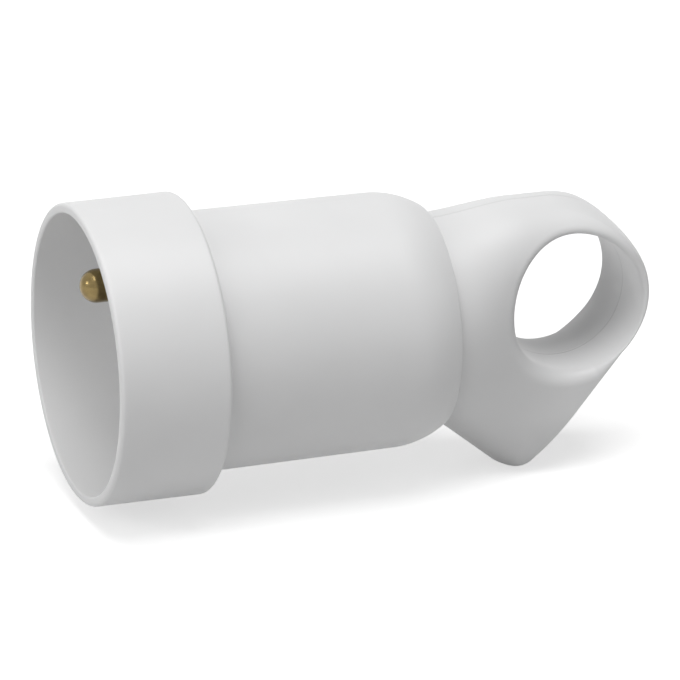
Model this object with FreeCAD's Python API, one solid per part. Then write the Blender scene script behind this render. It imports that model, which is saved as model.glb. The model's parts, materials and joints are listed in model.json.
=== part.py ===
# Rewirable inline socket connector with a finger ring, two poles and an earth pin.
# Millimetres. The origin is the centre of the socket's mouth, +X runs back along the
# axis to the finger ring, and +Z points up, so the connector lies on its collar and
# on the lobe of its cable outlet.
import FreeCAD
import Part
import math
import os

V = FreeCAD.Vector

# Collar and recess
collar_radius = 21.5
collar_length = 16.2
collar_wall = 1.8
recess_depth = 15.0
floor_thickness = 3.4
lip_round = 0.65
edge_round = 0.6
seam_round = 0.3
spigot_length = 4.0
spigot_wall = 1.8

# Plug interface
pin_spacing = 19.0
pin_hole_radius = 2.8
pin_hole_chamfer = 0.5
earth_pin_radius = 2.4
earth_pin_height = 10.0
earth_pin_projection = 14.2
earth_base_radius = 2.9

# Body sleeve
sleeve_front_radius = 18.5
sleeve_rear_radius = 18.25
sleeve_wall = 2.0
sleeve_length = 28.8
shoulder_radius = 13.0
shoulder_length = 7.1
lip_thickness = 2.0
lip_bore = 12.2

# Bayonet that joins the ring handle to the sleeve
bayonet_reach = 1.2
bayonet_thickness = 1.5
bayonet_angle = 44.0
bayonet_spare = 2.0
handle_bore = 10.0
handle_bore_depth = 4.6

# Ring handle
neck_step = 1.6
waist_length = 11.6
ring_half_width = 9.0
ring_top_wall = 3.4
ring_top_round = 7.6
ring_edge_round = 2.4
finger_hole_radius = 10.2
finger_hole_z = 1.9
finger_rim_chamfer = 0.5
finger_web = 5.2
rear_radius = 11.2
rear_shift = 0.45
rear_height = 2.6
crown_radius = 15.0
crown_angle = 58.0
outlet_angle = 42.9
outlet_bore = 4.6
outlet_drop = 17.0
outlet_chamfer = 0.6
lobe_angle = 40.0
lobe_foot_height = 10.5
tip_run = 2.0

# Angles on the round neck where the six edges of the ring's section begin and end
neck_stops = (0, 28, 72, 108, 152, 180, 360)
edge_steps = 4
waist_sections = 7

# Contact carrier
carrier_front_length = 8.6
carrier_length = 16.6
barrier_length = 8.0
barrier_thickness = 1.6
barrier_core_radius = 2.4

# Contacts and terminals
contact_setback = 0.8
contact_bore = 2.45
contact_wall = 0.55
contact_base = 0.8
contact_slot = 0.8
contact_slot_length = 10.0
clip_width = 2.4
clip_wall = 0.4
clip_setback = 2.0
rivet_radius = 1.2
rivet_length = 2.0
terminal_width = 7.0
terminal_height = 7.0
terminal_length = 7.6
wire_hole_radius = 1.5
wire_hole_depth = 6.0
earth_flange_radius = 3.7
earth_flange_thickness = 2.0
earth_stud_radius = 2.0

# Screws
screw_radius = 1.5
screw_head_radius = 2.5
screw_head_height = 1.6
screw_slot_width = 0.7
screw_slot_depth = 0.8
terminal_screw_length = 3.4
housing_screw_length = 20.0
housing_screw_circle = 13.0
housing_screw_angle = 135.0
clamp_screw_length = 5.0

# Screw lugs inside the sleeve
lug_radius = 3.5
lug_length = 12.0
lug_web = 4.0
lug_floor = 1.0

# Cord clamp
shelf_height = -4.5
shelf_length = 6.0
trough_radius = 4.1
trough_height = -1.5
post_radius = 2.0
post_spacing = 12.4
post_top = 0.8
clamp_width = 4.0
clamp_thickness = 2.2
clamp_rib = 0.8

# Clearances
seat_gap = 0.1
screw_gap = 0.05
head_gap = 0.3

# Overshoot that carries each cut clear of the face it opens
past = 1.0

# Places worked out from the sizes above
recess_radius = collar_radius - collar_wall
floor_rear = recess_depth + floor_thickness
spigot_end = floor_rear + spigot_length
carrier_rear = floor_rear + carrier_length
lug_front = floor_rear + carrier_front_length
pin_y = pin_spacing / 2
shoulder_start = collar_length + sleeve_length
sleeve_end = shoulder_start + shoulder_length
taper = math.atan2(sleeve_front_radius - sleeve_rear_radius, sleeve_length)
shoulder_x = shoulder_start - shoulder_radius * math.sin(taper)
shoulder_z = sleeve_rear_radius - shoulder_radius * math.cos(taper)
sleeve_bore = sleeve_front_radius - sleeve_wall / math.cos(taper)
spigot_radius = sleeve_bore - (spigot_end - collar_length) * math.tan(taper) - seat_gap
spigot_bore = spigot_radius - spigot_wall
carrier_radius = spigot_bore - seat_gap
lip_front = sleeve_end - lip_thickness
clamp_x = lip_front + shelf_length / 2
handle_bore_end = sleeve_end + handle_bore_depth
finger_hole_x = handle_bore_end + finger_web + finger_hole_radius
ring_top = finger_hole_z + finger_hole_radius + ring_top_wall
rear_centre = V(finger_hole_x + rear_shift, 0, rear_height)
crown_axis = V(math.sin(math.radians(crown_angle)), 0, math.cos(math.radians(crown_angle)))
crown_centre = rear_centre - crown_axis * (crown_radius - rear_radius)
outlet_axis = V(math.cos(math.radians(outlet_angle)), 0, -math.sin(math.radians(outlet_angle)))
outlet_down = V(-math.sin(math.radians(outlet_angle)), 0, -math.cos(math.radians(outlet_angle)))
outlet_face = rear_centre + outlet_axis * rear_radius + outlet_down * outlet_drop
housing_screws = [
    (housing_screw_circle * math.cos(math.radians(a)), housing_screw_circle * math.sin(math.radians(a)))
    for a in (housing_screw_angle, housing_screw_angle + 180)
]


def shoulder_height(x, inset):
    """Radius of the sleeve's rounded shoulder at x, inset from its outer surface."""
    return shoulder_z + math.sqrt((shoulder_radius - inset) ** 2 - (x - shoulder_x) ** 2)


neck_radius = shoulder_height(sleeve_end, 0)
handle_neck_radius = neck_radius - neck_step


def rod(radius, start, end, y=0.0, z=0.0):
    """Round bar along X."""
    return Part.makeCylinder(radius, end - start, V(start, y, z), V(1, 0, 0))


def cross_rod(radius, start, direction, length):
    """Round bar from a point along any direction."""
    return Part.makeCylinder(radius, length, start, direction)


def block(x0, x1, y0, y1, z0, z1):
    return Part.makeBox(x1 - x0, y1 - y0, z1 - z0, V(x0, y0, z0))


def turn(edges):
    """Solid of revolution about X from a closed profile in the XZ plane."""
    return Part.Face(Part.Wire(edges)).revolve(V(0, 0, 0), V(1, 0, 0), 360)


def outline(points):
    """Straight edges through (x, z) points."""
    corners = [V(x, 0, z) for x, z in points]
    return [Part.makeLine(a, b) for a, b in zip(corners, corners[1:])]


def rim_edges(shape, x, radius):
    """Circular edges about X with the given place and radius."""
    found = []
    for edge in shape.Edges:
        box = edge.BoundBox
        flat = box.XLength < 1e-4 and abs(box.XMin - x) < 1e-4
        if flat and abs(box.ZMax - radius) < 1e-3 and abs(box.ZMin + radius) < 1e-3:
            found.append(edge)
    return found


def screw(length, head_at, direction):
    """Slotted cheese-head screw: head_at is the seat under the head, direction points to its tip."""
    shank = cross_rod(screw_radius, head_at, direction, length)
    head = cross_rod(screw_head_radius, head_at, direction * -1, screw_head_height)
    across = direction.cross(V(1, 0, 0) if abs(direction.x) < 0.5 else V(0, 1, 0))
    top = head_at - direction * screw_head_height
    side = direction.cross(across)
    reach = screw_head_radius + past
    corner = top - across * reach - side * screw_slot_width / 2
    slot_face = Part.makePolygon([
        corner,
        corner + across * reach * 2,
        corner + across * reach * 2 + side * screw_slot_width,
        corner + side * screw_slot_width,
        corner,
    ])
    slot = Part.Face(slot_face).extrude(direction * screw_slot_depth)
    return shank.fuse(head).removeSplitter().cut(slot)


def socket_front():
    """Collar with the round recess, its floor and the spigot that enters the sleeve."""
    shape = turn(outline([
        (recess_depth, 0), (recess_depth, recess_radius), (0, recess_radius), (0, collar_radius),
        (collar_length, collar_radius), (collar_length, spigot_radius), (spigot_end, spigot_radius),
        (spigot_end, spigot_bore), (floor_rear, spigot_bore), (floor_rear, 0), (recess_depth, 0),
    ]))
    lip = rim_edges(shape, 0, recess_radius) + rim_edges(shape, 0, collar_radius)
    shape = shape.makeFillet(lip_round, lip)
    shape = shape.makeFillet(edge_round, rim_edges(shape, collar_length, collar_radius))
    shape = shape.makeFillet(edge_round, rim_edges(shape, recess_depth, recess_radius))
    front = recess_depth - past
    back = floor_rear + past
    cuts = [rod(earth_base_radius + screw_gap, front, back, 0, earth_pin_height)]
    for side in (-1, 1):
        cuts.append(rod(pin_hole_radius, front, back, side * pin_y))
        cuts.append(Part.makeCone(
            pin_hole_radius + 2 * pin_hole_chamfer, pin_hole_radius, 2 * pin_hole_chamfer,
            V(recess_depth - pin_hole_chamfer, side * pin_y, 0), V(1, 0, 0)))
    for y, z in housing_screws:
        cuts.append(rod(screw_radius + head_gap, front, spigot_end + past, y, z))
        cuts.append(rod(screw_head_radius + head_gap, front, recess_depth + screw_head_height, y, z))
    return shape.cut(cuts)


def body_sleeve():
    """Tapered tube with a rounded shoulder, a bayonet lip and two screw lugs."""
    rear_angle = math.asin((sleeve_end - shoulder_x) / shoulder_radius)
    inner_radius = shoulder_radius - sleeve_wall
    inner_angle = math.asin((lip_front - shoulder_x) / inner_radius)

    def on_shoulder(radius, angle):
        return V(shoulder_x + radius * math.sin(angle), 0, shoulder_z + radius * math.cos(angle))

    outer = [on_shoulder(shoulder_radius, a) for a in (taper, (taper + rear_angle) / 2, rear_angle)]
    inner = [on_shoulder(inner_radius, a) for a in (inner_angle, (taper + inner_angle) / 2, taper)]
    front = V(collar_length, 0, sleeve_front_radius)
    front_inner = V(collar_length, 0, sleeve_bore)
    lip = [V(sleeve_end, 0, lip_bore), V(lip_front, 0, lip_bore)]
    shape = turn([
        Part.makeLine(front, outer[0]),
        Part.Arc(*outer).toShape(),
        Part.makeLine(outer[2], lip[0]),
        Part.makeLine(lip[0], lip[1]),
        Part.makeLine(lip[1], inner[0]),
        Part.Arc(*inner).toShape(),
        Part.makeLine(inner[2], front_inner),
        Part.makeLine(front_inner, front),
    ])
    seams = rim_edges(shape, collar_length, sleeve_front_radius) + rim_edges(shape, sleeve_end, neck_radius)
    shape = shape.makeFillet(seam_round, seams)
    wall_middle = sleeve_rear_radius - sleeve_wall / 2
    lug_end = lug_front + lug_length
    for y, z in housing_screws:
        lug = rod(lug_radius, lug_front, lug_end, y, z)
        web = block(lug_front, lug_end, housing_screw_circle, wall_middle, -lug_web / 2, lug_web / 2)
        web.rotate(V(0, 0, 0), V(1, 0, 0), math.degrees(math.atan2(z, y)))
        shape = shape.fuse([lug, web])
    for y, z in housing_screws:
        shape = shape.cut(rod(screw_radius + screw_gap, lug_front - past, lug_end - lug_floor, y, z))
    gate_radius = lip_bore + bayonet_reach + seat_gap
    for turned in (0, 180):
        gate = bayonet_lug(gate_radius, lip_front - past, sleeve_end + past, bayonet_spare)
        gate.rotate(V(0, 0, 0), V(1, 0, 0), 90 + turned)
        shape = shape.cut(gate)
    return shape.removeSplitter()


def bayonet_lug(radius, start, end, spare):
    """Sector of a disc about +Y that spans the bayonet's angle plus a spare angle."""
    angle = bayonet_angle + spare
    disc = Part.makeCylinder(radius, end - start, V(start, 0, 0), V(1, 0, 0), angle)
    middle = disc.CenterOfMass
    disc.rotate(V(0, 0, 0), V(1, 0, 0), -math.degrees(math.atan2(middle.z, middle.y)))
    return disc


def lobe_bottom(x):
    """Height of the cable lobe's lower edge at x: a straight slope that levels out at the tip."""
    run = x - sleeve_end
    level = max(0.0, run - waist_length + tip_run)
    return -handle_neck_radius - math.tan(math.radians(lobe_angle)) * (run - level * level / (2 * tip_run))


def lower_half_ellipse(x, width, height, foot):
    """Half-ellipse that hangs below foot, drawn from -Y to +Y."""
    side = V(x, width, foot)
    low = V(x, 0, foot - height)
    longer, shorter = (low, side) if height > width else (side, low)
    ellipse = Part.Ellipse(longer, shorter, V(x, 0, foot))
    start = -math.pi / 2 if height > width else 0
    half = Part.ArcOfEllipse(ellipse, start, start + math.pi)
    if half.StartPoint.y > half.EndPoint.y:
        half.reverse()
    return half


def slot_edges(x):
    """Section of the ring handle: flat sides, rounded top corners and a half-ellipse below."""
    w, r, top = ring_half_width, ring_top_round, ring_top
    foot = lobe_bottom(x) + lobe_foot_height
    k = r * (1 - math.sqrt(0.5))
    return [
        Part.LineSegment(V(x, w, foot), V(x, w, top - r)),
        Part.Arc(V(x, w, top - r), V(x, w - k, top - k), V(x, w - r, top)),
        Part.LineSegment(V(x, w - r, top), V(x, r - w, top)),
        Part.Arc(V(x, r - w, top), V(x, k - w, top - k), V(x, -w, top - r)),
        Part.LineSegment(V(x, -w, top - r), V(x, -w, foot)),
        lower_half_ellipse(x, w, lobe_foot_height, foot),
    ]


def waist_section(x):
    """Section between the round neck and the slot, blended along the waist."""
    t = (x - sleeve_end) / waist_length
    if t >= 1:
        return Part.Wire([edge.toShape() for edge in slot_edges(x)])
    blend = t * t * (3 - 2 * t)
    curves = []
    for edge, start, stop in zip(slot_edges(x), neck_stops, neck_stops[1:]):
        steps = edge_steps * (2 if stop == neck_stops[-1] else 1)
        points = []
        for i in range(steps + 1):
            share = i / steps
            angle = math.radians(start + (stop - start) * share)
            height = handle_neck_radius if angle < math.pi else -lobe_bottom(x)
            on_neck = V(x, handle_neck_radius * math.cos(angle), height * math.sin(angle))
            on_slot = edge.value(edge.FirstParameter + (edge.LastParameter - edge.FirstParameter) * share)
            points.append(on_neck * (1 - blend) + on_slot * blend)
        curve = Part.BSplineCurve()
        curve.interpolate(points)
        curves.append(curve.toShape())
    return Part.Wire(curves)


def handle_side_profile():
    """Side view of the ring and its slanted outlet face, pulled through the full width."""
    far = 2 * collar_radius
    tangent = rear_centre + outlet_axis * rear_radius
    low = tangent + outlet_down * far
    crest = crown_centre + V(0, 0, crown_radius)
    half = math.radians(crown_angle / 2)
    crown_middle = crown_centre + V(math.sin(half), 0, math.cos(half)) * crown_radius
    crown_end = rear_centre + crown_axis * rear_radius
    middle = rear_centre + V(rear_radius, 0, 0)
    rear_top = V(crest.x, 0, far)
    front_top = V(0, 0, far)
    front_low = V(0, 0, low.z)
    wire = Part.Wire([
        Part.Arc(crest, crown_middle, crown_end).toShape(),
        Part.Arc(crown_end, middle, tangent).toShape(),
        Part.makeLine(tangent, low),
        Part.makeLine(low, front_low),
        Part.makeLine(front_low, front_top),
        Part.makeLine(front_top, rear_top),
        Part.makeLine(rear_top, crest),
    ])
    face = Part.Face(wire)
    face.translate(V(0, -far, 0))
    return face.extrude(V(0, 2 * far, 0))


def finger_hole():
    """Cutter for the finger hole, flared where it opens in the flat sides."""
    near = V(finger_hole_x, -collar_radius, finger_hole_z)
    shape = cross_rod(finger_hole_radius, near, V(0, 1, 0), 2 * collar_radius)
    flare = finger_rim_chamfer + past
    for side in (-1, 1):
        start = V(finger_hole_x, side * (ring_half_width - finger_rim_chamfer), finger_hole_z)
        cone = Part.makeCone(finger_hole_radius, finger_hole_radius + flare, flare, start, V(0, side, 0))
        shape = shape.fuse(cone)
    return shape


def handle_outer():
    """Waist loft and slot-shaped tail, trimmed to the side view and rounded, with the finger hole."""
    stations = [sleeve_end + waist_length * i / (waist_sections - 1) for i in range(waist_sections)]
    wires = [waist_section(x) for x in stations]
    waist = Part.makeLoft(wires, True, False)
    tail_length = rear_centre.x + rear_radius + past - stations[-1]
    tail = Part.Face(wires[-1]).extrude(V(tail_length, 0, 0))
    shape = waist.fuse(tail).common(handle_side_profile())
    side = handle_side_profile().Faces
    trim = []
    for edge in shape.Edges:
        middle = edge.valueAt((edge.FirstParameter + edge.LastParameter) / 2)
        spot = Part.Vertex(middle)
        touched = [face for face in side if face.distToShape(spot)[0] < 1e-4]
        if len(touched) == 1:
            trim.append(edge)
    shape = shape.makeFillet(ring_edge_round, trim)
    return shape.cut(finger_hole())


def ring_handle():
    """Finger ring, waist and slanted cable outlet in one moulding, with the clamp's shelf inside."""
    shape = handle_outer()
    spigot = lip_bore - seat_gap
    lug_rear = lip_front - seat_gap / 2
    lug_start = lug_rear - bayonet_thickness
    adds = [rod(spigot, lug_start, sleeve_end + past)]
    for turned in (0, 180):
        lug = bayonet_lug(lip_bore + bayonet_reach, lug_start, lug_rear, 0)
        lug.rotate(V(0, 0, 0), V(1, 0, 0), turned)
        adds.append(lug)
    shape = shape.fuse(adds)
    shape = shape.cut(rod(handle_bore, lug_start - past, handle_bore_end))
    shelf_end = lip_front + shelf_length
    shelf = rod((handle_bore + spigot) / 2, lug_start, shelf_end).common(
        block(lug_start, shelf_end, -collar_radius, collar_radius, -collar_radius, shelf_height))
    shape = shape.fuse(shelf)
    posts = []
    for side in (-1, 1):
        foot = V(clamp_x, side * post_spacing / 2, shelf_height - past)
        posts.append(cross_rod(post_radius, foot, V(0, 0, 1), post_top - shelf_height + past))
    shape = shape.fuse(posts)
    cuts = [rod(trough_radius, lug_start - past, handle_bore_end, 0, trough_height)]
    outlet_depth = (outlet_face.x - clamp_x) / outlet_axis.x
    mouth = outlet_face + outlet_axis * past
    cuts.append(cross_rod(outlet_bore, mouth, outlet_axis * -1, outlet_depth + past))
    cuts.append(Part.makeCone(
        outlet_bore + 2 * outlet_chamfer, outlet_bore, 2 * outlet_chamfer,
        outlet_face + outlet_axis * outlet_chamfer, outlet_axis * -1))
    for side in (-1, 1):
        top = V(clamp_x, side * post_spacing / 2, post_top + past)
        cuts.append(cross_rod(screw_radius + screw_gap, top, V(0, 0, -1), clamp_screw_length + past))
    return shape.cut(cuts)


def contact_carrier():
    """Insulating block behind the recess floor, with three walls between the terminals."""
    core_end = carrier_rear + barrier_length
    shape = rod(carrier_radius, floor_rear, carrier_rear)
    walls = [rod(barrier_core_radius, carrier_rear - past, core_end)]
    half = barrier_thickness / 2
    for angle in (45, 135, 270):
        wall = block(carrier_rear - past, core_end, 0, carrier_radius, -half, half)
        wall.rotate(V(0, 0, 0), V(1, 0, 0), angle)
        walls.append(wall.common(rod(carrier_radius, carrier_rear - past, core_end)))
    shape = shape.fuse(walls)
    front = floor_rear - past
    back = carrier_rear + past
    chamber = contact_bore + contact_wall + seat_gap
    clip_end = floor_rear + clip_setback + clip_width + seat_gap
    flange_end = floor_rear + earth_flange_thickness
    cuts = [
        rod(earth_stud_radius + screw_gap, front, back, 0, earth_pin_height),
        rod(earth_flange_radius + seat_gap, front, flange_end, 0, earth_pin_height),
    ]
    for side in (-1, 1):
        cuts.append(rod(chamber, front, back, side * pin_y))
        cuts.append(rod(chamber + clip_wall, front, clip_end, side * pin_y))
    bay = lug_radius + head_gap
    for y, z in housing_screws:
        cuts.append(rod(screw_radius + head_gap, front, lug_front + past, y, z))
        cuts.append(rod(bay, lug_front, core_end + past, y, z))
        outer = block(lug_front, core_end + past, housing_screw_circle, collar_radius, -bay, bay)
        outer.rotate(V(0, 0, 0), V(1, 0, 0), math.degrees(math.atan2(z, y)))
        cuts.append(outer)
    return shape.cut(cuts)


def earth_pin():
    """Turned brass pin with a domed tip, a flange behind the floor and a riveted stud."""
    tip = recess_depth - earth_pin_projection
    flange_end = floor_rear + earth_flange_thickness
    rivet_end = carrier_rear + rivet_length
    dome = V(tip + earth_pin_radius * (1 - math.sqrt(0.5)), 0, earth_pin_radius * math.sqrt(0.5))
    edges = [Part.Arc(V(tip, 0, 0), dome, V(tip + earth_pin_radius, 0, earth_pin_radius)).toShape()]
    edges += outline([
        (tip + earth_pin_radius, earth_pin_radius), (recess_depth, earth_pin_radius),
        (recess_depth, earth_base_radius), (floor_rear, earth_base_radius),
        (floor_rear, earth_flange_radius), (flange_end, earth_flange_radius),
        (flange_end, earth_stud_radius), (carrier_rear, earth_stud_radius),
        (carrier_rear, rivet_radius), (rivet_end, rivet_radius), (rivet_end, 0), (tip, 0),
    ])
    shape = turn(edges)
    shape.translate(V(0, 0, earth_pin_height))
    return shape


def pole_contact(side):
    """Slotted brass sleeve that grips a plug pin, closed at the back with a rivet."""
    outer = contact_bore + contact_wall
    rivet = rod(rivet_radius, carrier_rear - past, carrier_rear + rivet_length)
    start = floor_rear + contact_setback
    shape = rod(outer, start, carrier_rear).fuse(rivet)
    shape = shape.cut(rod(contact_bore, start - past, carrier_rear - contact_base))
    slot_end = start + contact_slot_length
    half = contact_slot / 2
    shape = shape.cut(block(start - past, slot_end, -half, half, -outer - past, outer + past))
    shape.translate(V(0, side * pin_y, 0))
    return shape


def contact_clip(side):
    """Steel spring clip round the mouth of a pole contact, open at one side."""
    outer = contact_bore + contact_wall
    start = floor_rear + clip_setback
    end = start + clip_width
    shape = rod(outer + clip_wall, start, end).cut(rod(outer, start - past, end + past))
    gap = block(start - past, end + past, -contact_slot, contact_slot, 0, outer + clip_wall + past)
    shape = shape.cut(gap)
    shape.translate(V(0, side * pin_y, 0))
    return shape


def terminal(outward, centre):
    """Brass terminal block at centre (y, z), with its screw hole on the outward side."""
    y, z = centre
    end = carrier_rear + terminal_length
    shape = block(carrier_rear, end, y - terminal_width / 2, y + terminal_width / 2,
                  z - terminal_height / 2, z + terminal_height / 2)
    shape = shape.makeChamfer(seam_round, shape.Edges)
    seat = V(carrier_rear + terminal_length / 2, y, z) + outward * (terminal_height / 2)
    return shape.cut([
        rod(rivet_radius, carrier_rear - past, carrier_rear + rivet_length, y, z),
        rod(wire_hole_radius, end - wire_hole_depth, end + past, y, z),
        cross_rod(screw_radius + screw_gap, seat + outward * past, outward * -1, terminal_height / 2 + past),
    ])


def terminal_screw(outward, centre):
    y, z = centre
    seat = V(carrier_rear + terminal_length / 2, y, z) + outward * (terminal_height / 2)
    return screw(terminal_screw_length, seat, outward * -1)


def housing_screw(place):
    y, z = place
    return screw(housing_screw_length, V(recess_depth + screw_head_height, y, z), V(1, 0, 0))


def cord_clamp():
    """Bridge across the cable, with rounded ends and a rib that bites the sheath."""
    half = post_spacing / 2
    bar_top = post_top + clamp_thickness
    shape = block(clamp_x - clamp_width / 2, clamp_x + clamp_width / 2, -half, half, post_top, bar_top)
    for side in (-1, 1):
        end = cross_rod(clamp_width / 2, V(clamp_x, side * half, post_top), V(0, 0, 1), clamp_thickness)
        shape = shape.fuse(end)
    reach = half - post_radius - seat_gap
    rib = cross_rod(clamp_rib, V(clamp_x, -reach, post_top), V(0, 1, 0), 2 * reach)
    shape = shape.fuse(rib)
    for side in (-1, 1):
        hole = V(clamp_x, side * half, post_top - past)
        shape = shape.cut(cross_rod(screw_radius + screw_gap, hole, V(0, 0, 1), clamp_thickness + 2 * past))
    return shape.removeSplitter()


def clamp_screw(side):
    seat = V(clamp_x, side * post_spacing / 2, post_top + clamp_thickness)
    return screw(clamp_screw_length, seat, V(0, 0, -1))


POLES = {"live": -1, "neutral": 1}
TERMINALS = {
    "live": (V(0, -1, 0), (-pin_y, 0)),
    "neutral": (V(0, 1, 0), (pin_y, 0)),
    "earth": (V(0, 0, 1), (0, earth_pin_height)),
}

nodes = {
    "socket_front": socket_front(),
    "body_sleeve": body_sleeve(),
    "ring_handle": ring_handle(),
    "contact_carrier": contact_carrier(),
    "earth_pin": earth_pin(),
    "cord_clamp": cord_clamp(),
}
for name, side in POLES.items():
    nodes[name + "_contact"] = pole_contact(side)
    nodes[name + "_contact_clip"] = contact_clip(side)
for name, (outward, centre) in TERMINALS.items():
    nodes[name + "_terminal"] = terminal(outward, centre)
    nodes[name + "_terminal_screw"] = terminal_screw(outward, centre)
for name, place in zip(("upper", "lower"), housing_screws):
    nodes[name + "_housing_screw"] = housing_screw(place)
for name, side in (("near", -1), ("far", 1)):
    nodes[name + "_clamp_screw"] = clamp_screw(side)

os.makedirs("parts", exist_ok=True)
for name, shape in nodes.items():
    shape.exportStep("parts/" + name + ".step")
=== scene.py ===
import json
import math

import bmesh
import bpy
import numpy as np
from mathutils import Matrix, Vector

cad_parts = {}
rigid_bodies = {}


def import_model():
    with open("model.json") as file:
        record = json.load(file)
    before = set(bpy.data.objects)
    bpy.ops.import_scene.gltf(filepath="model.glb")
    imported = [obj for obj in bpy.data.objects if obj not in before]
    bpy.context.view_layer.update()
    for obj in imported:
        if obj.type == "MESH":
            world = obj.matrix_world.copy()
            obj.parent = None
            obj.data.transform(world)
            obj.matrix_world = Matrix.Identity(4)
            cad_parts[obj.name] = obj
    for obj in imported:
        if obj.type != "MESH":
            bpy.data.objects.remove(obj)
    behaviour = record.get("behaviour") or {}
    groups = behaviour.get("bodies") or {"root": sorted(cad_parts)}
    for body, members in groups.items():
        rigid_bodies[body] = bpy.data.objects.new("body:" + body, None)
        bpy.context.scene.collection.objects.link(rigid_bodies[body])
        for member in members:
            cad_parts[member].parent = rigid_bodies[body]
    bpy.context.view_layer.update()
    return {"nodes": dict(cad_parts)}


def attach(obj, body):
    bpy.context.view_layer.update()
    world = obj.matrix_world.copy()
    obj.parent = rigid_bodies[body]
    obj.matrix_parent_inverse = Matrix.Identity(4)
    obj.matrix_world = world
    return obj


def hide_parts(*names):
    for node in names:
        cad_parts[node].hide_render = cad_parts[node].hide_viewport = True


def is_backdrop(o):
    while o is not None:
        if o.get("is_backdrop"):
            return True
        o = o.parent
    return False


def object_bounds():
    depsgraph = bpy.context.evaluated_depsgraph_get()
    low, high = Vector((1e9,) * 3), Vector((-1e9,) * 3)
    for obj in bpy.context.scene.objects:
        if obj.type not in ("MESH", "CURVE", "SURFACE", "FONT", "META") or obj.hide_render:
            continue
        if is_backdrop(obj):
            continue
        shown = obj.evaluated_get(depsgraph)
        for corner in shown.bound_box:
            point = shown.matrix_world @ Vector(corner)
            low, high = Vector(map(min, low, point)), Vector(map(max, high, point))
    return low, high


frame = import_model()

nodes = frame["nodes"]
mm = 0.001

# Camera, found from the outlines of the collar and the sleeve
image_size = 680
camera_azimuth = -19.5
camera_elevation = 19.8
camera_roll = 0.2
camera_distance = 1.2
pixels_per_mm = 7.04
target = Vector((0.042, 0, 0))
target_pixel = (357.19, 322.38)
sensor = 36.0

# Light: places and sizes in metres, powers in watts
key_place = (0.0, -0.21, 1.05)
key_power = 9.4
key_size = 0.8
fill_place = (-0.42, -0.3, 0.33)
fill_power = 0.95
fill_size = 0.5
spark_place = (-0.503, 0.022, 0.208)
spark_power = 0.3
spark_size = 0.08
back_place = (0.5, 0.75, 0.45)
back_power = 0.9
back_size = 0.4
ambient = 0.1

# Floor: half of its width, and how far from the object it starts and ends turning white, in metres
floor_half = 6.0
white_from = 0.2
white_at = 0.8

# Socket front, in millimetres: the solid's form, with a thinner lip and a recess that narrows to
# its floor
collar_radius = 21.5
collar_length = 16.2
mouth_radius = 20.1
recess_radius = 19.7
recess_depth = 15.0
floor_rear = 18.4
spigot_end = 22.4
spigot_radius = 16.346
spigot_bore = 14.546
lip_inner_round = 0.3
lip_outer_round = 0.6
edge_round = 0.6
edge_margin = 0.4
axis_radius = 0.01
cap_radius = 5.0
pin_hole_y = 9.5
pin_hole_radius = 2.8
pin_hole_chamfer = 0.5
earth_hole_z = 10.0
earth_hole_radius = 2.95
screw_hole_circle = 13.0
screw_hole_angle = math.radians(135)
screw_hole_radius = 1.8
screw_head_radius = 2.8
screw_head_height = 1.6
cut_past = 1.0

# Ring handle, in millimetres: the solid's form, with its outer band crowned and its width eased
# into the ring
neck_x = 52.1
neck_radius = 14.5
neck_tuck = 0.3
waist_length = 13.7
taper_length = 18.8
half_width = 8.6
top_height = 15.95
top_round = 8.2
lobe_slope = math.tan(math.radians(39.5))
lobe_foot = 10.5
tip_run = 2.0
tip_round = 2.9
hole_centre = np.array([72.24, 1.85])
hole_radius = 10.12
hole_rim = 1.3
hole_flare = 0.8
flare_way = np.array([-0.6, -0.8])
crown_wide = 8.0
crown_deep = 0.85
rear_centre = np.array([72.29, 2.68])
rear_radius = 11.54
crown_radius = 14.67
crown_angle = math.radians(64.5)
outlet_angle = math.radians(39.9)
outlet_drop = 17.0
outlet_radius = 4.6
outlet_flare = 0.6
outlet_depth = 20.0

# Limits that keep the rounds of the handle's band inside its wall and width
least_half = 0.02
least_square = 0.4
wall_share = 0.8
width_share = 0.9

# Steps of the surfaces, and the angle from which an edge is sharp
run_steps = 200
tip_steps = 60
blur_steps = 11
round_steps = 560
side_steps = 44
corner_steps = 9
wall_steps = 10
turn_steps = 288
hole_steps = 96
sharp_angle = math.radians(35)

# How much longer than wide a drawn streak is in pressed metal
streak_stretch = 12


class Value:
    """A socket that takes part in sums: each sum on it adds one Math node to its node tree."""

    def __init__(self, finish, socket):
        self.finish = finish
        self.socket = socket

    def sum(self, operation, first, second):
        return self.finish.node("ShaderNodeMath", {"operation": operation}, {0: first, 1: second})

    def __add__(self, other):
        return self.sum("ADD", self, other)

    def __radd__(self, other):
        return self.sum("ADD", other, self)

    def __mul__(self, other):
        return self.sum("MULTIPLY", self, other)

    def __rmul__(self, other):
        return self.sum("MULTIPLY", other, self)

    def greater(self, other):
        return self.sum("MAXIMUM", self, other)

    def size(self):
        return self.sum("ABSOLUTE", self, 0.0)

    def ramp(self, low, high):
        """0 at low, 1 at high and smooth between them; low may be the greater."""
        return self.finish.node(
            "ShaderNodeMapRange", {"interpolation_type": "SMOOTHSTEP"},
            {"Value": self, "From Min": low, "From Max": high, "To Min": 0.0, "To Max": 1.0})


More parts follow.
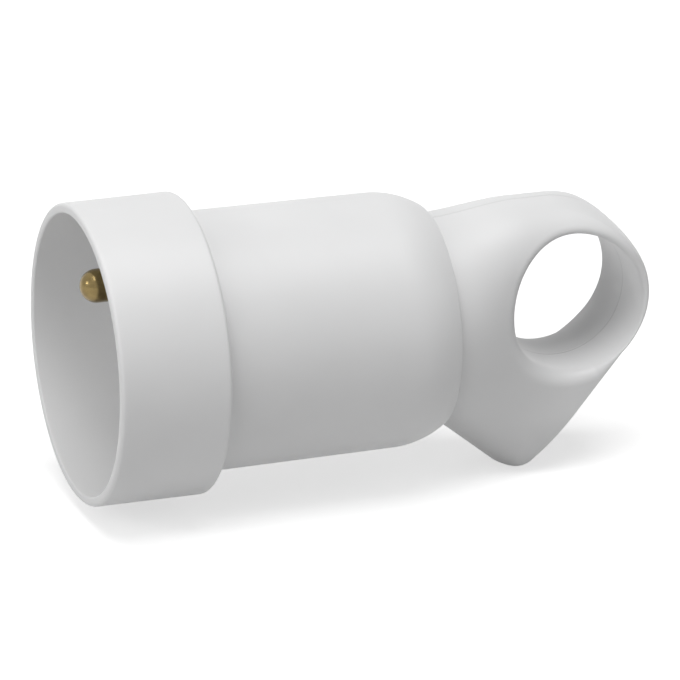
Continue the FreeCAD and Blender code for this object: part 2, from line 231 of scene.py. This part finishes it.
class Finish:
    """The node tree of a material or world. node() makes any node from its type, settings and sockets."""

    def __init__(self, owner):
        owner.use_nodes = True
        self.owner = owner
        self.tree = owner.node_tree
        self.tree.nodes.clear()

    def node(self, kind, settings=None, sockets=None, output=0):
        made = self.tree.nodes.new(kind)
        for key, value in (settings or {}).items():
            setattr(made, key, value)
        for key, value in (sockets or {}).items():
            if isinstance(value, Value):
                self.tree.links.new(value.socket, made.inputs[key])
            else:
                made.inputs[key].default_value = value
        if made.outputs:
            return Value(self, made.outputs[output])

    def place(self):
        return self.node("ShaderNodeTexCoord", output="Object")

    def noise(self, where, scale, detail=2.0):
        return self.node("ShaderNodeTexNoise", None, {"Vector": where, "Scale": scale, "Detail": detail})

    def stretch(self, where, scale):
        return self.node("ShaderNodeMapping", None, {"Vector": where, "Scale": scale})

    def blend(self, share, first, second):
        """Colour that goes from first to second as share goes from 0 to 1."""
        return self.node(
            "ShaderNodeMix", {"data_type": "RGBA"}, {0: share, 6: first, 7: second}, output=2)

    def bump(self, height, strength, distance, below=None):
        sockets = {"Height": height, "Strength": strength, "Distance": distance}
        if below is not None:
            sockets["Normal"] = below
        return self.node("ShaderNodeBump", None, sockets)

    def end(self, **sockets):
        """Principled shader with these sockets, led to the output."""
        named = {key.replace("_", " "): value for key, value in sockets.items()}
        shader = self.node("ShaderNodeBsdfPrincipled", None, named)
        self.node("ShaderNodeOutputMaterial", None, {"Surface": shader})
        return self.owner

    def seen(self):
        """1 for what the view, reflections and clear things see, 0 for light that falls on surfaces."""
        rays = ("Is Camera Ray", "Is Glossy Ray", "Is Transmission Ray")
        camera, glossy, clear = [self.node("ShaderNodeLightPath", output=ray) for ray in rays]
        return camera.greater(glossy).greater(clear)


def moulded_white(name, parting_line):
    """White moulded plastic: cloudy tint, satin gloss that varies, fine grain and slight sink waves.

    The parting line is a ridge along the plane y = 0 where the two halves of the mould met.
    """
    f = Finish(bpy.data.materials.new(name))
    where = f.place()
    cloud = f.noise(where, scale=45.0, detail=3.0)
    grain = f.noise(where, scale=5200.0, detail=1.0)
    tint = f.blend(cloud.ramp(0.3, 0.7), (0.80, 0.801, 0.803, 1), (0.77, 0.771, 0.773, 1))
    gloss = 0.32 + 0.10 * cloud + 0.05 * grain
    sink = f.noise(where, scale=28.0, detail=1.0)
    waves = f.bump(sink, strength=0.10, distance=0.0012)
    skin = f.bump(grain, strength=0.05, distance=0.00004, below=waves)
    if parting_line:
        across = f.node("ShaderNodeSeparateXYZ", None, {"Vector": where}, output=1)
        ridge = across.size().ramp(low=0.00016, high=0.00004)
        skin = f.bump(ridge, strength=0.8, distance=0.0001, below=skin)
        tint = f.blend(ridge * 0.4, tint, (0.58, 0.58, 0.58, 1))
    return f.end(Base_Color=tint, Roughness=gloss, Normal=skin, IOR=1.48, Specular_IOR_Level=0.35)


def turned_brass(name):
    """Brass turned on a lathe: fine rings along X, tarnish in clouds and a satin gloss."""
    f = Finish(bpy.data.materials.new(name))
    where = f.place()
    rings = f.noise(f.stretch(where, (9000.0, 60.0, 60.0)), scale=1.0)
    stain = f.noise(where, scale=260.0, detail=4.0)
    tint = f.blend(stain.ramp(0.35, 0.7), (0.30, 0.225, 0.10, 1), (0.17, 0.125, 0.055, 1))
    gloss = 0.14 + 0.14 * stain + 0.06 * rings
    skin = f.bump(rings, strength=0.25, distance=0.00003)
    return f.end(Base_Color=tint, Metallic=1.0, Roughness=gloss, Normal=skin)


def pressed_metal(name, light, dark, grain):
    """Pressed or plated metal: short drawn streaks along X and a cloudy plating."""
    f = Finish(bpy.data.materials.new(name))
    where = f.place()
    streak = f.noise(f.stretch(where, (grain / streak_stretch, grain, grain)), scale=1.0)
    plating = f.noise(where, scale=300.0, detail=3.0)
    tint = f.blend(plating.ramp(0.3, 0.7), light, dark)
    skin = f.bump(streak, strength=0.2, distance=0.00003)
    return f.end(Base_Color=tint, Metallic=1.0, Roughness=0.25 + 0.2 * streak, Normal=skin)


def matt_off_white(name):
    """Off-white moulding of the inner pieces: matt, with a coarser grain."""
    f = Finish(bpy.data.materials.new(name))
    where = f.place()
    grain = f.noise(where, scale=2600.0)
    cloud = f.noise(where, scale=90.0, detail=3.0)
    tint = f.blend(cloud.ramp(0.3, 0.7), (0.66, 0.65, 0.61, 1), (0.60, 0.59, 0.55, 1))
    skin = f.bump(grain, strength=0.12, distance=0.00005)
    return f.end(Base_Color=tint, Roughness=0.5 + 0.15 * grain, Normal=skin)


def dress(names, material):
    """Gives CAD nodes a finish in their own material slots."""
    for name in names:
        data = nodes[name].data
        for index in range(len(data.materials)):
            data.materials[index] = material


shell_white = moulded_white("shell_white", parting_line=False)
handle_white = moulded_white("handle_white", parting_line=True)
pin_brass = turned_brass("turned_pin_brass")
contact_brass = pressed_metal(
    "pressed_contact_brass", light=(0.62, 0.48, 0.24, 1), dark=(0.50, 0.38, 0.18, 1), grain=4000.0)
spring_steel = pressed_metal(
    "spring_clip_steel", light=(0.50, 0.50, 0.52, 1), dark=(0.40, 0.40, 0.42, 1), grain=5000.0)
zinc_steel = pressed_metal(
    "zinc_screw_steel", light=(0.60, 0.60, 0.61, 1), dark=(0.48, 0.49, 0.50, 1), grain=3000.0)
carrier_white = matt_off_white("carrier_off_white")

dress(["socket_front", "body_sleeve"], shell_white)
dress(["ring_handle"], handle_white)
dress(["earth_pin"], pin_brass)
dress(["contact_carrier", "cord_clamp"], carrier_white)
dress([n for n in nodes if n.endswith("_contact") or n.endswith("_terminal")], contact_brass)
dress([n for n in nodes if n.endswith("_clip")], spring_steel)
dress([n for n in nodes if n.endswith("_screw")], zinc_steel)


def lobe_bottom(x):
    """Height of the lobe's lower edge: a straight slope from the neck that levels out over its last run."""
    run = np.clip(x - neck_x, -neck_tuck, waist_length)
    level = np.clip(run - waist_length + tip_run, 0, None)
    return -neck_radius - lobe_slope * (run - level ** 2 / (2 * tip_run))


def smooth_run(x, length):
    """0 at the neck, 1 at a length behind it, with a smooth step between them."""
    t = np.clip((x - neck_x) / length, 0, 1)
    return t * t * (3 - 2 * t)


def crest_height(x):
    """Height of the handle's top edge, from the round neck to the level top of the ring."""
    share = smooth_run(x, waist_length)
    return neck_radius * (1 - share) + top_height * share


def half_thickness(x, z):
    """Half of the handle's width across Y at a point of its side view.

    The neck is a circle, drawn down to the lobe's edge below the axis. The ring has flat sides, a top
    rounded with an arc and a half-ellipse below. Both are taken at the same share of their height
    and mixed.
    """
    share = smooth_run(x, taper_length)
    height = np.where(z > 0, crest_height(x), -lobe_bottom(x))
    level = np.clip(np.abs(z) / height, 0, 1)
    on_neck = neck_radius * np.sqrt(1 - level ** 2)
    over = np.clip(level * top_height - (top_height - top_round), 0, top_round)
    upper = half_width - top_round + np.sqrt(top_round ** 2 - over ** 2)
    under = np.clip((level * height - (height - lobe_foot)) / lobe_foot, 0, 1)
    lower = half_width * np.sqrt(1 - under ** 2)
    return on_neck * (1 - share) + np.where(z > 0, upper, lower) * share


def arc(centre, radius, start, stop, count):
    """Points of an arc from one angle to another, measured from +Z towards +X."""
    angle = np.linspace(start, stop, count)
    return centre + radius * np.column_stack([np.sin(angle), np.cos(angle)])


def handle_outline():
    """Side view of the handle as (x, z) points, clockwise from the neck's foot.

    Neck plane, top edge, crown arc, rear arc, slanted outlet face, tip arc and the lobe's lower edge. Each
    point has a share of crown: 1 round the ring and 0 elsewhere.
    """
    front = neck_x - neck_tuck
    crown_axis = np.array([math.sin(crown_angle), math.cos(crown_angle)])
    crown_centre = rear_centre - crown_axis * (crown_radius - rear_radius)
    crown_start = math.acos((top_height - crown_centre[1]) / crown_radius)
    crown_x = crown_centre[0] + crown_radius * math.sin(crown_start)
    face_angle = math.pi / 2 + outlet_angle
    normal = np.array([math.sin(face_angle), math.cos(face_angle)])
    down = np.array([-math.sin(outlet_angle), -math.cos(outlet_angle)])
    face_top = rear_centre + normal * rear_radius
    slope = math.atan(lobe_slope)
    forward = np.array([-math.cos(slope), math.sin(slope)])
    foot = np.array([neck_x, -neck_radius])
    tip = foot - forward * ((face_top - foot) @ normal / -(forward @ normal))
    bisector = (forward - down) / np.linalg.norm(forward - down)
    half = math.acos(bisector @ forward)
    run = tip_round / math.tan(half)
    tip_centre = tip + bisector * tip_round / math.sin(half)
    top_x = np.linspace(front, crown_x, run_steps)
    low_start = tip + forward * run
    tip_arc = arc(tip_centre, tip_round, face_angle, math.pi + slope, tip_steps)
    share = np.linspace(0, 1, run_steps)[:, None]
    neck_z = np.linspace(-neck_radius, neck_radius, run_steps)
    parts = [
        (np.column_stack([np.full(run_steps, front), neck_z]), 0),
        (np.column_stack([top_x, crest_height(top_x)]), 0),
        (arc(crown_centre, crown_radius, crown_start, crown_angle, run_steps), 1),
        (arc(rear_centre, rear_radius, crown_angle, face_angle, run_steps), 1),
        (face_top + share * (tip - down * run - face_top), 1),
        (tip_arc, 1),
        (low_start + share * (foot + forward * neck_tuck - low_start), 0),
    ]
    points = np.concatenate([part[1:] for part, _ in parts])
    crown = np.concatenate([np.full(len(part) - 1, size, float) for part, size in parts])
    return points, crown


def spread_evenly(points, crown):
    """Outline taken again at even steps along its length, with its share of crown smoothed."""
    closed = np.vstack([points, points[:1]])
    length = np.concatenate([[0], np.cumsum(np.linalg.norm(np.diff(closed, axis=0), axis=1))])
    at = np.linspace(0, length[-1], round_steps, endpoint=False)
    even = np.column_stack([np.interp(at, length, closed[:, i]) for i in (0, 1)])
    sizes = np.interp(at, length, np.append(crown, crown[0]))
    window = np.hanning(2 * blur_steps + 1)
    wrapped = np.concatenate([sizes[-blur_steps:], sizes, sizes[:blur_steps]])
    return even, np.convolve(wrapped, window / window.sum(), "valid")


def handle_surface():
    """Points of the handle's surface, on a grid closed both ways.

    One way goes round the finger hole, along rays to the outline. The other goes round the band's
    section: the hole's wall, its rim as a quarter round, the near side, the crown of the outer face as a
    flat quarter ellipse, the middle of that face, and the same back on the far side.
    """
    points, crown = spread_evenly(*handle_outline())
    ray = points - hole_centre
    reach = np.linalg.norm(ray, axis=1)
    ray = ray / reach[:, None]
    along = np.roll(points, -1, axis=0) - np.roll(points, 1, axis=0)
    along = along / np.linalg.norm(along, axis=1)[:, None]
    square = np.clip(np.abs(ray[:, 0] * along[:, 1] - ray[:, 1] * along[:, 0]), least_square, 1)
    wall = reach - hole_radius
    edge_width = half_thickness(points[:, 0], points[:, 1])
    edge = np.minimum(crown * crown_wide, width_share * edge_width)
    edge_run = np.minimum(crown * crown_deep / square, wall_share * wall)
    flare = hole_rim * (1 + hole_flare * np.clip(ray @ flare_way, 0, 1) ** 2)
    rim = np.minimum(flare, wall_share * (wall - edge_run))
    quarter = np.linspace(0, math.pi / 2, corner_steps)[None, :]
    rim_out = hole_radius + rim[:, None] * (1 - np.cos(quarter))
    rim_dip = rim[:, None] * (1 - np.sin(quarter))
    edge_out = reach[:, None] - edge_run[:, None] * (1 - np.sin(quarter))
    edge_dip = edge[:, None] * (1 - np.cos(quarter))
    share = (1 - np.cos(np.linspace(0, math.pi, side_steps)[1:-1])) / 2
    start = rim_out[:, -1:]
    side_out = start + (edge_out[:, :1] - start) * share
    out = np.hstack([rim_out, side_out, edge_out])
    dip = np.hstack([rim_dip, np.zeros_like(side_out), edge_dip])
    x = hole_centre[0] + ray[:, :1] * out
    z = hole_centre[1] + ray[:, 1:] * out
    y = np.clip(half_thickness(x, z) - dip, least_half, None)
    across = np.linspace(-1, 1, wall_steps)[None, 1:-1]
    band = np.ones_like(across)
    near = np.stack([x, -y, z], axis=2)
    face = np.stack([x[:, -1:] * band, y[:, -1:] * across, z[:, -1:] * band], axis=2)
    far = np.stack([x, y, z], axis=2)[:, ::-1]
    bore = np.stack([x[:, :1] * band, -y[:, :1] * across, z[:, :1] * band], axis=2)
    return np.concatenate([near, face, far, bore], axis=1) * mm


def grid_mesh(name, grid):
    """Mesh of a grid of points that closes on itself both ways."""
    rows, columns = grid.shape[:2]
    index = np.arange(rows * columns).reshape(rows, columns)
    right = np.roll(index, -1, axis=1)
    below = np.roll(index, -1, axis=0)
    corner = np.roll(below, -1, axis=1)
    quads = np.stack([index, right, corner, below], axis=2).reshape(-1, 4)
    mesh = bpy.data.meshes.new(name)
    mesh.from_pydata(grid.reshape(-1, 3).tolist(), [], quads.tolist())
    return mesh


def turned_solid(name, start, axes, depth, radius, steps):
    """Closed solid of revolution.

    Each ring is the start point, plus a depth along the first axis, plus a radius along a direction that
    turns from the second axis to the third. A face closes each end ring. The rings start half a step
    round, so that no corner of a hole falls on an edge of the front.
    """
    axis, first, second = axes
    turn = (np.arange(steps) + 0.5) * (2 * math.pi / steps)
    spoke = np.cos(turn)[:, None] * first + np.sin(turn)[:, None] * second
    depth = np.asarray(depth)[:, None, None]
    radius = np.asarray(radius)[:, None, None]
    rings = start + depth * axis + radius * spoke[None]
    index = np.arange(rings.shape[0] * steps).reshape(-1, steps)
    right = np.roll(index, -1, axis=1)
    quads = np.stack([index[:-1], right[:-1], right[1:], index[1:]], axis=2).reshape(-1, 4)
    ends = [index[0, ::-1].tolist(), index[-1].tolist()]
    mesh = bpy.data.meshes.new(name)
    mesh.from_pydata((rings.reshape(-1, 3) * mm).tolist(), [], quads.tolist() + ends)
    return mesh


def outlet_cutter():
    """Opening of the cable outlet: a blind bore with a flared mouth, square to the slanted face."""
    axis = np.array([math.cos(outlet_angle), 0, -math.sin(outlet_angle)])
    down = np.array([-math.sin(outlet_angle), 0, -math.cos(outlet_angle)])
    rear = np.array([rear_centre[0], 0, rear_centre[1]])
    mouth = rear + axis * rear_radius + down * outlet_drop
    depth = [-outlet_depth, -outlet_depth, -outlet_flare, outlet_flare, outlet_flare]
    radius = [axis_radius, outlet_radius, outlet_radius, outlet_radius + 2 * outlet_flare, axis_radius]
    axes = (axis, down, np.array([0, 1.0, 0]))
    return turned_solid("outlet_cutter", mouth, axes, depth, radius, hole_steps)


def front_profile():
    """Half section of the socket front as (x, radius) points, from the recess floor outwards.

    Floor, rounded corner, recess wall that opens towards the mouth, lip with two rounded edges, collar
    with a rounded rear edge, and the spigot behind it. A point beside each arc keeps the flat runs flat.
    """
    quarter = math.pi / 2
    corner = np.array([recess_depth - edge_round, recess_radius - edge_round])
    inner = np.array([lip_inner_round, mouth_radius + lip_inner_round])
    outer = np.array([lip_outer_round, collar_radius - lip_outer_round])
    rear = np.array([collar_length - edge_round, collar_radius - edge_round])
    floor_edge = recess_radius - edge_round - edge_margin
    parts = [
        [(recess_depth, cap_radius), (recess_depth, floor_edge)],
        arc(corner, edge_round, quarter, 0, corner_steps),
        [(corner[0] - edge_margin, recess_radius), (lip_inner_round + edge_margin, mouth_radius)],
        arc(inner, lip_inner_round, 2 * quarter, 3 * quarter, corner_steps),
        arc(outer, lip_outer_round, 3 * quarter, 4 * quarter, corner_steps),
        [(lip_outer_round + edge_margin, collar_radius), (rear[0] - edge_margin, collar_radius)],
        arc(rear, edge_round, 0, quarter, corner_steps),
        [(collar_length, rear[1] - edge_margin), (collar_length, spigot_radius)],
        [(spigot_end, spigot_radius), (spigot_end, spigot_bore)],
        [(floor_rear, spigot_bore), (floor_rear, cap_radius)],
    ]
    return np.concatenate([np.asarray(part) for part in parts])


def front_cutters(axes):
    """Openings of the recess floor: two chamfered pin holes, the earth pin's seat and two screw holes."""
    front = recess_depth - cut_past
    back = floor_rear + cut_past
    chamfer = [recess_depth - pin_hole_chamfer, recess_depth + pin_hole_chamfer]
    wide = pin_hole_radius + 2 * pin_hole_chamfer
    pin_depth = [chamfer[0], chamfer[0], chamfer[1], back, back]
    pin_sizes = [axis_radius, wide, pin_hole_radius, pin_hole_radius, axis_radius]
    earth_depth = [front, front, back, back]
    earth_sizes = [axis_radius, earth_hole_radius, earth_hole_radius, axis_radius]
    seat = recess_depth + screw_head_height
    screw_depth = [front, front, seat, seat, back, back]
    screw_sizes = [axis_radius] + 2 * [screw_head_radius] + 2 * [screw_hole_radius] + [axis_radius]
    screw_y = screw_hole_circle * math.cos(screw_hole_angle)
    screw_z = screw_hole_circle * math.sin(screw_hole_angle)
    holes = [
        ("near_pin_hole", -pin_hole_y, 0, pin_depth, pin_sizes),
        ("far_pin_hole", pin_hole_y, 0, pin_depth, pin_sizes),
        ("earth_hole", 0, earth_hole_z, earth_depth, earth_sizes),
        ("upper_screw_hole", screw_y, screw_z, screw_depth, screw_sizes),
        ("lower_screw_hole", -screw_y, -screw_z, screw_depth, screw_sizes),
    ]
    return [turned_solid(name, np.array([0, y, z]), axes, depth, sizes, hole_steps)
            for name, y, z, depth, sizes in holes]


def outward(mesh):
    """Turns the faces of a closed mesh outwards."""
    shape = bmesh.new()
    shape.from_mesh(mesh)
    bmesh.ops.recalc_face_normals(shape, faces=shape.faces)
    shape.to_mesh(mesh)
    shape.free()


def finished_form(name, mesh, cutters, material, node):
    """Piece that stands for a CAD node: a closed surface with its openings cut out and its edges sharp."""
    scene_objects = bpy.context.scene.collection.objects
    outward(mesh)
    piece = bpy.data.objects.new(name, mesh)
    scene_objects.link(piece)
    tools = []
    for cutter_mesh in cutters:
        outward(cutter_mesh)
        tool = bpy.data.objects.new(cutter_mesh.name, cutter_mesh)
        scene_objects.link(tool)
        cut = piece.modifiers.new(cutter_mesh.name, "BOOLEAN")
        cut.object = tool
        cut.solver = "EXACT"
        tools.append(tool)
    bpy.context.view_layer.update()
    depsgraph = bpy.context.evaluated_depsgraph_get()
    shaped = bpy.data.meshes.new_from_object(piece.evaluated_get(depsgraph))
    piece.modifiers.clear()
    piece.data = shaped
    for tool in tools:
        bpy.data.objects.remove(tool)
    bpy.data.meshes.remove(mesh)
    shaped.name = name
    shaped.polygons.foreach_set("use_smooth", np.ones(len(shaped.polygons), bool))
    shaped.set_sharp_from_angle(angle=sharp_angle)
    shaped.materials.clear()
    shaped.materials.append(material)
    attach(piece, "root")
    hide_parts(node)


along_x = tuple(np.eye(3))
origin = np.zeros(3)
profile = front_profile()
front_mesh = turned_solid("socket_front_form", origin, along_x, *profile.T, turn_steps)
finished_form("socket_front_form", front_mesh, front_cutters(along_x), shell_white, "socket_front")
handle_mesh = grid_mesh("ring_handle_form", handle_surface())
finished_form("ring_handle_form", handle_mesh, [outlet_cutter()], handle_white, "ring_handle")


def floor_white():
    """Pale floor: a lit matt white that keeps shadows, with a lift for the view and reflections alone."""
    f = Finish(bpy.data.materials.new("studio_floor"))
    where = f.place()
    paper = f.noise(where, scale=400.0, detail=3.0)
    tint = f.blend(paper, (0.62, 0.62, 0.62, 1), (0.64, 0.64, 0.64, 1))
    matt = f.node("ShaderNodeBsdfDiffuse", None, {"Color": tint})
    away = f.node("ShaderNodeVectorMath", {"operation": "LENGTH"}, {0: where}, output="Value")
    lift = f.blend(away.ramp(white_from, white_at), (0.62, 0.62, 0.62, 1), (1, 1, 1, 1))
    glow = f.node("ShaderNodeEmission", None, {"Color": lift, "Strength": 1.0})
    both = f.node("ShaderNodeAddShader", None, {0: matt, 1: glow})
    mixed = f.node("ShaderNodeMixShader", None, {0: f.seen(), 1: matt, 2: both})
    f.node("ShaderNodeOutputMaterial", None, {"Surface": mixed})
    return f.owner


def studio_floor():
    """Flat square under the object's lowest point, wide enough to fill every view."""
    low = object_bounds()[0][2]
    mesh = bpy.data.meshes.new("studio_floor")
    corners = [(-floor_half, -floor_half, low), (floor_half, -floor_half, low),
               (floor_half, floor_half, low), (-floor_half, floor_half, low)]
    mesh.from_pydata(corners, [], [(0, 1, 2, 3)])
    mesh.materials.append(floor_white())
    floor = bpy.data.objects.new("studio_floor", mesh)
    bpy.context.scene.collection.objects.link(floor)
    floor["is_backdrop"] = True


def area_light(name, place, aim, width, power, in_gloss=True):
    """Square soft light at a place, turned towards its aim, which may stay out of reflections."""
    lamp = bpy.data.lights.new(name, "AREA")
    lamp.size = width
    lamp.energy = power
    light = bpy.data.objects.new(name, lamp)
    light.visible_glossy = in_gloss
    light.location = place
    light.rotation_euler = (Vector(aim) - Vector(place)).to_track_quat("-Z", "Y").to_euler()
    bpy.context.scene.collection.objects.link(light)


def studio_world():
    """Even grey surround for the light, seen as white by the view and by reflections."""
    f = Finish(bpy.data.worlds.new("studio_surround"))
    white = (1, 1, 1, 1)
    surround = f.node("ShaderNodeBackground", None, {"Color": white, "Strength": ambient})
    shown = f.node("ShaderNodeBackground", None, {"Color": white, "Strength": 1.0})
    mixed = f.node("ShaderNodeMixShader", None, {0: f.seen(), 1: surround, 2: shown})
    f.node("ShaderNodeOutputWorld", None, {"Surface": mixed})
    bpy.context.scene.world = f.owner


def photo_camera():
    """Camera on the photograph's line of sight; its shift puts the target on its pixel."""
    azimuth = math.radians(camera_azimuth)
    elevation = math.radians(camera_elevation)
    back = Vector((
        math.sin(azimuth) * math.cos(elevation),
        -math.cos(azimuth) * math.cos(elevation),
        math.sin(elevation)))
    right = Vector((0, 0, 1)).cross(back).normalized()
    up = back.cross(right)
    roll = math.radians(camera_roll)
    turned_right = right * math.cos(roll) + up * math.sin(roll)
    turned_up = up * math.cos(roll) - right * math.sin(roll)
    data = bpy.data.cameras.new("photo_camera")
    data.sensor_width = sensor
    data.lens = pixels_per_mm / mm * camera_distance * sensor / image_size
    data.shift_x = (image_size / 2 - target_pixel[0]) / image_size
    data.shift_y = (target_pixel[1] - image_size / 2) / image_size
    data.clip_start = 0.05
    data.clip_end = 50.0
    camera = bpy.data.objects.new("photo_camera", data)
    turn = Matrix((turned_right, turned_up, back)).transposed().to_4x4()
    camera.matrix_world = Matrix.Translation(target + back * camera_distance) @ turn
    bpy.context.scene.collection.objects.link(camera)
    bpy.context.scene.camera = camera


studio_floor()
studio_world()
area_light("key_light", key_place, target, key_size, key_power)
area_light("fill_light", fill_place, target, fill_size, fill_power, in_gloss=False)
area_light("spark_light", spark_place, target, spark_size, spark_power)
area_light("back_light", back_place, target, back_size, back_power, in_gloss=False)
photo_camera()
bpy.context.scene.view_settings.view_transform = "Standard"
